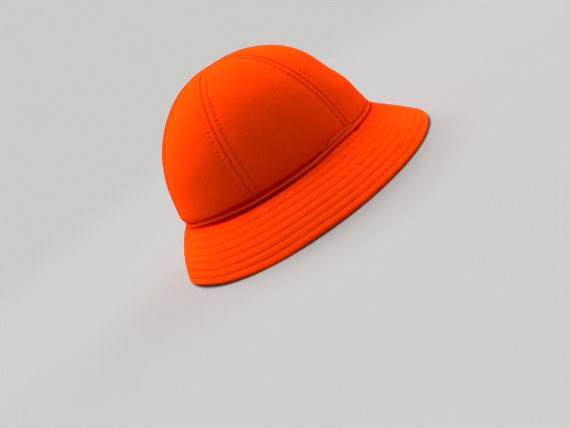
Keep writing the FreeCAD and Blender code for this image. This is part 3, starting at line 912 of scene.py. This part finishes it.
def brim_skin(name, t0, t1, side):
    qs = row_positions()
    if side > 0:                               # the allowance goes in under the welt
        qs = np.concatenate([[0.5, 0.9, 1.3], qs[qs > 1.55]])
    lim = EDGE_U if side < 0 else (pi - EDGE_U - radians(2.0))
    roll = W_TOP + HEM_R * np.linspace(0, lim, 12)[1:]
    qs = np.concatenate([qs, roll])
    t = np.linspace(t0, t1, NT_)
    TT, QQ = np.meshgrid(t, qs, indexing="ij")
    P, N = brim_surface(TT, QQ, side)
    h, painted_shade, tw = quilt(TT, QQ, side)
    if side < 0:
        h = h * 0.55
    dist, w = side_seam(TT, QQ)
    h -= (0.24 * np.exp(-(dist / 0.6) ** 2) + 0.10 * np.exp(-(dist / 2.2) ** 2)) * w
    # painted shade along the side seam
    painted_shade += 0.10 * np.exp(-(dist / 0.45) ** 2) * w
    if side > 0:
        # a short forked crease where the cloth is pinched, right side, with painted shade along it
        for (ta, qa, tb, qb, g) in ((-96.6, 9.4, -99.9, 19.0, 1.0), (-95.2, 8.0, -97.4, 12.6, 0.7), (-98.0, 7.6, -97.4, 12.0, 0.6)):
            ax, ay = radians(ta) * 108.0, qa; bx, by = radians(tb) * 108.0, qb
            px, py = TT * 108.0, QQ
            u = np.clip(((px - ax) * (bx - ax) + (py - ay) * (by - ay)) / ((bx - ax) ** 2 + (by - ay) ** 2), 0, 1)
            dd = np.hypot(px - ax - u * (bx - ax), py - ay - u * (by - ay))
            h -= 0.55 * g * np.exp(-(dd / 0.55) ** 2)
            painted_shade += 0.62 * g * np.exp(-(dd / 0.5) ** 2)
    # edge: the seam between top and under skin is pulled in, with painted shade along it
    h *= 1 - 0.0 * QQ
    endd = (W_TOP + HEM_R * lim) - QQ
    h -= 0.22 * np.exp(-(endd / 0.7) ** 2)
    painted_shade += 0.35 * np.exp(-(endd / 0.35) ** 2)
    # start: tucks under the welt, deepest along the right side; painted shade under the welt, a softer band of painted
    # shade over the first channel, and a wider one at the front right
    if side > 0:
        g = sunk(tw)
        painted_shade += (0.38 + 1.15 * g) * np.exp(-((QQ - 2.2 - 1.4 * g) / (1.2 + 2.4 * g)) ** 4)
        painted_shade += 0.26 * (0.4 + 0.8 * g) * np.exp(-(QQ / 10.0) ** 2)
        painted_shade += 0.24 * np.exp(-(QQ / 20.0) ** 2) * sstep(tw, radians(-112), radians(-80)) * (1 - sstep(tw, radians(-20), radians(12)))
        h += rec(TT, QQ)
        h += 0.40 * np.exp(-((QQ - 7.4) / 1.0) ** 2) * gs(tw + radians(122), radians(15))
        # a pulled spot in the seam, front right, with painted shade in it
        sp = np.exp(-(((tw + radians(58.5)) * 100 / 3.4) ** 2 + ((QQ - 4.0) / 1.7) ** 2))
        h -= 0.8 * sp
        painted_shade += 0.95 * sp
    outer = P + N * h[..., None]
    # inner side of the cloth
    qi = np.concatenate([np.linspace(qs[0], W_TOP, 34), W_TOP + HEM_R * np.linspace(0, lim, 6)[1:]])
    ti = np.linspace(t0, t1, 141)
    TI, QI = np.meshgrid(ti, qi, indexing="ij")
    PI_, NI = brim_surface(TI, QI, side)
    inner = PI_ - NI * (T_FABRIC - (rec(TI, QI) if side > 0 else 0.0 * QI))[..., None]
    clO = V(TT * (HEAD_A + QQ), QQ, 0 * QQ); clI = V(TI * (HEAD_A + QI), QI, 0 * QI)
    return slab(name, outer, inner, flip=(side > 0), attrs={"painted_shade": np.clip(painted_shade, 0, 1.9)}, vecs={"cloth": (clO, clI)})


for nm, (a_, b_) in HALVES.items():
    for side, key in ((1, "top"), (-1, "under")):
        ob = brim_skin("brim_%s_skin_%s" % (key, nm), a_, b_, side)
        finish_piece(ob, MAT_BRIM, "knit_orange", "brim_%s_%s" % (key, nm))
        tt = np.linspace(a_, b_, 60)
        g, _, _ = brim_frame(tt[:, None], np.linspace(BRIM_S0, W_TOP, 20)[None, :])
    # core
    q = np.linspace(5.2, W_TOP, 81); t = np.linspace(a_ + 0.0006, b_ - 0.0006, 181)
    TT, QQ = np.meshgrid(t, q, indexing="ij")
    P, D_, N_ = brim_frame(TT, QQ)
    P = P + D_ * ((edge_wave(TT) + edge_wave(TT + 0.06) + edge_wave(TT - 0.06)) / 3 * (QQ / W_TOP) ** 2)[..., None]
    sq = np.zeros_like(QQ)
    for r in ROWS:
        sq += 0.28 * np.exp(-((QQ - r) / 1.1) ** 2)
    o_ = P - N_ * (T_FABRIC + GAP + sq)[..., None]
    i_ = P - N_ * (T_FABRIC + GAP + T_CORE - 0.6 * sq)[..., None]
    ob = slab("brim_foam_" + nm, o_, i_, flip=True)
    finish_piece(ob, MAT_FOAM, "brim_foam", "brim_core_" + nm)

# =====================================================================
# 7. Welt: cloth cover folded round a cord
# =====================================================================
NW = 900
tw_ = np.linspace(-pi, pi, NW, endpoint=False)
Lw = tw_ * 97.0


def ring(t, dr, dz):
    x, y = oval(t); nx, ny = onorm(t)
    o = dr - WELT_IN + 0.65 - 1.0 * sunk(t) + 0.9 * gs((np.asarray(t, float) + pi) % (2 * pi) - pi, radians(38))
    return V(x + nx * o, y + ny * o, dz - sag(t) - 0.45 * sunk(t))


secs = []
angs = np.radians(np.linspace(-165, 165, 34))
A_, T_ = np.meshgrid(angs, tw_)
Lm = T_ * 97.0
rad = WELT_R + 0.12 - 0.22 * sunk(T_) + 0.10 * fnoise(Lm / 14.0, A_ * 0.8, 3) + 0.06 * noise2(Lm / 2.6, A_ * 2.0, 4)
# towards the rear the strip is flatter and shows the edge of its fold
rearw = sstep(np.abs(T_), radians(95), radians(140))
rad = rad - 0.42 * rearw * np.exp(-((A_ - radians(20)) / 0.20) ** 2) + 0.12 * rearw * np.exp(-((A_ + radians(18)) / 0.4) ** 2)
# join of the strip's ends at the back left
rad = rad + 0.25 * np.exp(-((T_ - radians(172)) * 97 / 3.0) ** 2)
outer = ring(T_, rad * np.cos(A_), rad * np.sin(A_) + 0.12 * np.sin(Lm / 11.0))
inner = ring(T_, (rad - 0.65) * np.cos(A_), (rad - 0.65) * np.sin(A_) + 0.12 * np.sin(Lm / 11.0))
nu, nv = outer.shape[:2]
verts = np.concatenate([outer.reshape(-1, 3), inner.reshape(-1, 3)])
faces = grid_faces(nu, nv, 0, False, wrap_u=True) + grid_faces(nu, nv, nu * nv, True, wrap_u=True)
for i in range(nu):
    i2 = (i + 1) % nu
    faces.append([i2 * nv, i * nv, nu * nv + i * nv, nu * nv + i2 * nv])
    faces.append([i * nv + nv - 1, i2 * nv + nv - 1, nu * nv + i2 * nv + nv - 1, nu * nv + i * nv + nv - 1])
ob = new_obj("welt_cloth", place(verts), faces)
# painted shade on the welt: a line along the rear fold edge, all but the crest where it lies sunk, its top under the
# crown's edge, and its underside
welt_painted_shade = 0.40 * rearw * np.exp(-((A_ - radians(20)) / 0.20) ** 2) + 0.80 * sunk(T_) * (1 - np.exp(-((A_ - radians(15)) / radians(24)) ** 2)) + 0.55 * sstep(A_, radians(70), radians(110)) + (0.35 + 0.6 * sunk(T_)) * sstep(-A_, radians(22), radians(62))
add_attr(ob, "painted_shade", np.concatenate([np.clip(welt_painted_shade, 0, 1).ravel(), np.zeros(nu * nv)]))
cl = V(A_ * WELT_R, Lm, 0 * Lm).reshape(-1, 3)
add_vec(ob, "cloth", np.concatenate([cl, cl]))
finish_piece(ob, MAT_WELT, "welt_knit", "welt_cover")

# cord: three twisted strands
cv, cf = [], []
for k in range(3):
    ph = Lw / 97.0 * 60 + k * 2 * pi / 3
    path = ring(tw_, 0.42 * np.cos(ph), 0.42 * np.sin(ph))
    v, f = tube(path, 0.44, 7, closed=True)
    cf += [[i + len(cv) * 0 + sum(len(x) for x in cv) for i in q] for q in f]
    cv.append(v)
ob = new_obj("filler_cord_strands", place(np.concatenate(cv)), cf)
finish_piece(ob, MAT_CORD, "filler_cord", "welt_cord")

# =====================================================================
# 8. Sweatband
# =====================================================================
D_BAND = D_LIN[1] + 0.12


def wall(t, z, depth):
    n = crown_exp(t)
    zz = np.maximum(z, 0) / CROWN_H
    rho = (1 - zz ** CROWN_M) ** (1 / n)
    x, y = oval(t); nx, ny = onorm(t)
    return V(x * rho + APEX_X * zz - nx * depth, y * rho - ny * depth, z)


tb = np.linspace(-pi + 0.004, pi - 0.004, 701)
zb = np.concatenate([np.linspace(0, 4.2, 15), np.linspace(5, BAND_H - 2.2, 22), np.linspace(BAND_H - 1.6, BAND_H, 5)])
TB, ZB = np.meshgrid(tb, zb, indexing="ij")
Lb = TB * 93.0
lift = 0.55 * fnoise(Lb / 30.0, ZB / 24.0, 71) * sstep(ZB, 6, 24)
rowd = 0.30 * np.exp(-((ZB - 2.8) / 0.6) ** 2)
edge = 0.35 * np.exp(-((ZB - (BAND_H - 1.2)) / 1.1) ** 2)
inn = wall(TB, BAND_Z0 + ZB + 0.35 * np.sin(Lb / 37.0) * sstep(ZB, 10, 30), D_BAND + BAND_T + 0.25 + lift - rowd + edge)
out = wall(TB, BAND_Z0 + ZB + 0.35 * np.sin(Lb / 37.0) * sstep(ZB, 10, 30), D_BAND + 0.30 + 0.85 * np.maximum(lift, -0.1))
clb = V(Lb, ZB, 0 * ZB)
ob = slab("sweatband_tape", out, inn, vecs={"cloth": (clb, clb)})
finish_piece(ob, MAT_BAND, "sweatband_cotton", "sweatband")

# =====================================================================
# 9. Stitches
# =====================================================================
def thread_lift(k):
    return 0.30 * np.sin(pi * k) ** 0.6


items = []
s_line = np.linspace(0, 1, 1200)
bounds_ = {}
for nm_, (a_, b_) in GORES.items():
    bounds_[nm_] = (a_, b_)


def seam_width(t0, t1):
    g = crown_pt(np.linspace(t0, t1, 61)[:, None], s_line[None, :])
    return np.linalg.norm(np.diff(g, axis=0), axis=-1).sum(0)


for nm_, (g0, g1) in GORES.items():
    Wl = seam_width(g0, g1)
    tf = np.linspace(g0, g1, 241)
    for side, ts in ((0, g0), (1, g1)):
        sid = seam_id(ts)
        # t of the row at each height: the place ROW_OFF from the seam along the cloth
        g = crown_pt(tf[:, None], s_line[None, :])
        cum = np.concatenate([np.zeros((1, len(s_line))), np.cumsum(np.linalg.norm(np.diff(g, axis=0), axis=-1), 0)])
        want = np.full(len(s_line), ROW_OFF) if side == 0 else Wl - ROW_OFF
        t_row = np.array([np.interp(want[j], cum[:, j], tf) for j in range(len(s_line))])
        ph0 = stitch_phase(sid, side, None)
        for k in range(1, 38):
            aa = (k - ph0) * PITCH_ST; ab = (k + 1 - ph0) * PITCH_ST
            sa, sb = (aa + 0.35) / CROWN_LEN, (ab - 0.35) / CROWN_LEN
            if sa < 0.02 or sb > 0.96:
                continue
            wa = np.interp((sa + sb) / 2, s_line, Wl)
            if wa / 2 < ROW_OFF + 1.6:
                continue
            sm = np.array([sa, (sa + sb) / 2, sb]); tm = np.interp(sm, s_line, t_row); wm = np.interp(sm, s_line, Wl)
            Pm = crown_pt(tm, sm); Nm = crown_nrm(tm, sm)
            dl_ = np.full(3, ROW_OFF) if side == 0 else wm - ROW_OFF
            hm, _ = gore_height(Pm, sm, dl_, wm - dl_, wm, g0, g1, tm)
            top = hm[1]
            items.append((Pm[0] + Nm[0] * (top - 0.22), Pm[2] + Nm[2] * (top - 0.22), Nm[1]))
ob = stitches("crown_thread", thread_lift, items, r=0.27)
finish_piece(ob, MAT_THREAD, "thread", "crown_topstitching")

# overlock threads that show where the cloth has pulled up from the welt, front right
def on_crown(t, a, up=0.0):
    t = np.atleast_1d(np.asarray(t, float)); s1_ = np.atleast_1d(np.asarray(a, float)) / CROWN_LEN
    gn = "right" if t[0] < -T1 else "front_right"
    t = np.clip(t, GORES[gn][0], GORES[gn][1])
    g0, g1 = GORES[gn]
    tf = np.linspace(g0, g1, 121)
    g = crown_pt(tf[:, None], s1_[None, :])
    cum = np.concatenate([np.zeros((1, len(s1_))), np.cumsum(np.linalg.norm(np.diff(g, axis=0), axis=-1), 0)])
    dl_ = np.array([np.interp(t[j], tf, cum[:, j]) for j in range(len(t))])
    P_ = crown_pt(t, s1_); N_ = crown_nrm(t, s1_)
    hh, _ = gore_height(P_, s1_, dl_, cum[-1] - dl_, cum[-1], g0, g1, t)
    return P_ + N_ * (hh + up)[..., None], N_


items = []
nf = 27
for k in range(nf):
    u = k / (nf - 1)
    r1 = _hash(k, 3, 1); r2 = _hash(k, 5, 2); r3 = _hash(k, 7, 3)
    tc = radians(-81.0 + 22.5 * u + 0.35 * (r1 - 0.5))
    z_, top_ = overlock_strip(np.array([tc])); top_ = float(top_[0])
    dt = radians(0.85 + 0.3 * r1)
    (Pa, Na) = on_crown([tc - dt], [1.5 + 0.4 * r2], 0.35); (Pb, Nb) = on_crown([tc + dt], [top_ - 0.2 + 0.3 * r3], 0.30)
    items.append((Pa[0], Pb[0], Na[0]))
    if k % 3 == 0:
        (Pa, Na) = on_crown([tc - dt * 0.2], [top_ - 0.3], 0.18); (Pb, Nb) = on_crown([tc + dt * 1.3], [top_ + 0.1], 0.20)
        items.append((Pa[0], Pb[0], Na[0]))
# knots and loose loops where the strip ends
for k in range(22):
    r1 = _hash(k, 13, 1); r2 = _hash(k, 15, 2); r3 = _hash(k, 17, 3); r4 = _hash(k, 19, 4)
    tc = radians(-65.5 + 8.5 * r1)
    ac = 1.8 + 3.2 * r2
    (Pa, Na) = on_crown([tc], [ac], 0.2 + 0.5 * r3); (Pb, Nb) = on_crown([tc + radians(1.6 * (r4 - 0.4))], [ac + 1.5 * (r3 - 0.3)], 0.4 + 0.5 * r4)
    items.append((Pa[0], Pb[0], Na[0]))
for k in range(5):
    r1 = _hash(k, 23, 1); r2 = _hash(k, 25, 2)
    (Pa, Na) = on_crown([radians(-82.5 + 3.5 * r1)], [1.8 + 1.8 * r2], 0.15); (Pb, Nb) = on_crown([radians(-82.0 + 3.9 * r2)], [2.6 + 1.6 * r1], 0.3)
    items.append((Pa[0], Pb[0], Na[0]))
ob = stitches("overlock_thread_ends", lambda k: 0.40 * np.sin(pi * k), items, r=0.28)
finish_piece(ob, MAT_FRAY, "thread")

for side, key in ((1, "top"), (-1, "under")):
    items = []
    for i, r in enumerate(ROWS):
        tt, LL = along_row[i]
        tot = np.interp(1.5 * pi, tt, LL) - np.interp(-0.5 * pi, tt, LL)
        base = np.interp(-0.5 * pi, tt, LL)
        k0 = int(math.ceil(base / PITCH_ST + 0.31 * i)); k1 = int(math.floor((base + tot) / PITCH_ST + 0.31 * i))
        k = np.arange(k0, k1)
        La = (k - 0.31 * i) * PITCH_ST + 0.5; Lb_ = (k + 1 - 0.31 * i) * PITCH_ST - 0.5
        ta = np.interp(La, LL, tt); tb_ = np.interp(Lb_, LL, tt)
        PA, NA = brim_surface(ta, r + row_shift(ta, np.full_like(ta, r)), side)
        PB, NB = brim_surface(tb_, r + row_shift(tb_, np.full_like(tb_, r)), side)
        lift0 = -0.34 if side > 0 else -0.20
        for j in range(len(k)):
            items.append((PA[j] + NA[j] * lift0, PB[j] + NB[j] * lift0, NA[j] + NB[j]))
    ob = stitches("brim_thread_" + key, lambda k: 0.24 * np.sin(pi * k) - 0.10, items, r=0.24, seg=5, nring=5)
    finish_piece(ob, MAT_THREAD, "thread", "brim_quilting_" + key)

items = []
tt = np.linspace(-pi + 0.02, pi - 0.02, 2000)
Pz = wall(tt, 0 * tt + BAND_Z0 + 2.8, 0 * tt + D_BAND + BAND_T + 0.0)
LL = np.concatenate([[0], np.cumsum(np.linalg.norm(np.diff(Pz, axis=0), axis=-1))])
for k in range(int(LL[-1] / 3.6)):
    ta, tb_ = np.interp(k * 3.6 + 0.4, LL, tt), np.interp((k + 1) * 3.6 - 0.4, LL, tt)
    PA = wall(ta, BAND_Z0 + 2.8, D_BAND + BAND_T + 0.05); PB = wall(tb_, BAND_Z0 + 2.8, D_BAND + BAND_T + 0.05)
    nx, ny = onorm((ta + tb_) / 2)
    items.append((PA, PB, np.array([-nx, -ny, 0.0])))
ob = stitches("sweatband_thread", lambda k: 0.22 * np.sin(pi * k) - 0.12, items, r=0.22)
finish_piece(ob, MAT_THREAD, "thread", "sweatband_stitching")

# =====================================================================
# 10. Stage, lights, camera
# =====================================================================
# pale floor that turns into an even pale backdrop some way off
def ring_mesh(name, prof, ns=96):
    v_, f_ = [(0, 0, prof[0][1])], []
    for r, z in prof[1:]:
        for k in range(ns):
            v_.append((r * math.cos(2 * pi * k / ns), r * math.sin(2 * pi * k / ns), z))
    for k in range(ns):
        f_.append([0, 1 + k, 1 + (k + 1) % ns])
    for j in range(len(prof) - 2):
        for k in range(ns):
            a = 1 + j * ns + k; b = 1 + j * ns + (k + 1) % ns
            f_.append([a, a + ns, b + ns, b])
    return new_obj(name, v_, f_)


PALE = (0.60, 0.592, 0.575, 1)
floor = ring_mesh("studio_floor", [(r, -0.0011) for r in (0.0, 0.3, 0.8, 1.6, 3.0, 6.0)])
fm = NT("studio_pale")
fm.b.inputs["Roughness"].default_value = 0.9
fm.b.inputs["Specular IOR Level"].default_value = 0.05
fn = fm.noise(fm.coord(), 3.0, 3.0)
fm.l(fm.mix(fm.math("MULTIPLY", fn, 0.3), (0.187, 0.184, 0.179, 1), (0.171, 0.168, 0.163, 1)), fm.b.inputs["Base Color"])
em = fm.n("ShaderNodeEmission")
em.inputs["Color"].default_value = PALE
em.inputs["Strength"].default_value = 1.0
ln = fm.n("ShaderNodeVectorMath", operation="LENGTH")
fm.l(fm.coord(), ln.inputs[0])
mr = fm.n("ShaderNodeMapRange", interpolation_type="SMOOTHSTEP")
mr.inputs["From Min"].default_value = 0.30
mr.inputs["From Max"].default_value = 1.3
fm.l(ln.outputs["Value"], mr.inputs["Value"])
mx = fm.n("ShaderNodeMixShader")
fm.l(mr.outputs["Result"], mx.inputs[0]); fm.l(fm.b.outputs[0], mx.inputs[1]); fm.l(em.outputs[0], mx.inputs[2])
fm.l(mx.outputs[0], fm.out.inputs[0])
floor.data.materials.append(fm.m)
floor.visible_diffuse = False
floor.visible_glossy = False

dome = [(0.0, 6.0)]
for k in range(1, 19):
    a = pi * k / 19
    dome.append((6.0 * math.sin(a), 6.0 * math.cos(a)))
dome.append((0.02, -6.0))
dome = ring_mesh("studio_backdrop", dome)
dm = NT("studio_backdrop_pale")
em = dm.n("ShaderNodeEmission")
em.inputs["Color"].default_value = PALE
em.inputs["Strength"].default_value = 1.0
dm.l(em.outputs[0], dm.out.inputs[0])
dome.data.materials.append(dm.m)
dome.visible_diffuse = False
dome.visible_glossy = False
dome.visible_shadow = False
dome.visible_transmission = False

# camera: fitted to the outline, seams and brim edge of the real hat
CAM = dict(az=-105.284, el=8.740, roll=32.483, D=592.044, u0=258.279, v0=130.836, f=600.0)
az, el, ro = (radians(CAM[k]) for k in ("az", "el", "roll"))
d = -np.array([math.cos(el) * math.cos(az), math.cos(el) * math.sin(az), math.sin(el)])
r_ = unit(np.cross(d, [0, 0, 1.0])); dn = np.cross(d, r_)
Fh = np.stack([r_, dn, d], 1)
dc = unit(np.array([(CAM["u0"] - 285) / CAM["f"], (CAM["v0"] - 214) / CAM["f"], 1.0]))
rc = unit(np.cross(dc, [0, -1.0, 0])); dnc = np.cross(dc, rc)
c_, s__ = math.cos(ro), math.sin(ro)
Fc = np.stack([c_ * rc - s__ * dnc, s__ * rc + c_ * dnc, dc], 1)
R = Fc @ Fh.T
C = np.array([0, 0, 35.0]) - CAM["D"] * d
Cm = place(C)
Rp = R @ M_ROT.T                       # rows: right, down, forward in the part frame
from mathutils import Matrix
mat = Matrix.Identity(4)
for i in range(3):
    mat[i][0] = Rp[0][i]; mat[i][1] = -Rp[1][i]; mat[i][2] = -Rp[2][i]; mat[i][3] = Cm[i]
cam_data = bpy.data.cameras.new("camera")
cam_data.sensor_width = 36.0
cam_data.lens = 36.0 * CAM["f"] / 570.0
cam_data.clip_start = 0.01
cam = bpy.data.objects.new("camera", cam_data)
cam.matrix_world = mat
bpy.context.scene.collection.objects.link(cam)
bpy.context.scene.camera = cam


def soft_sun(name, direction, illum, spread):
    """wide soft light from a direction in the part frame; illum = what a white surface facing it sends back"""
    z = unit(np.array(direction, float))
    ld = bpy.data.lights.new(name, "SUN")
    ld.energy = illum * pi
    ld.angle = radians(spread)
    lo = bpy.data.objects.new(name, ld)
    x = unit(np.cross([0.01, 0.02, 1.0], z)); y = np.cross(z, x)
    m4 = Matrix.Identity(4)
    for i in range(3):
        m4[i][0] = x[i]; m4[i][1] = y[i]; m4[i][2] = z[i]; m4[i][3] = z[i] * 3
    lo.matrix_world = m4
    bpy.context.scene.collection.objects.link(lo)
    return lo


soft_sun("key_overhead", (-0.09, 0.44, 0.89), 3.0, 44)
soft_sun("front", (0.92, 0.14, 0.38), 0.62, 44)
soft_sun("rear_left", (-0.93, 0.37, 0.10), 0.24, 44)

w = bpy.data.worlds.new("studio")
w.use_nodes = True
w.node_tree.nodes["Background"].inputs[0].default_value = (1, 1, 1, 1)
w.node_tree.nodes["Background"].inputs[1].default_value = 0.44
bpy.context.scene.world = w
bpy.context.scene.view_settings.view_transform = "Standard"
bpy.context.scene.view_settings.look = "None"
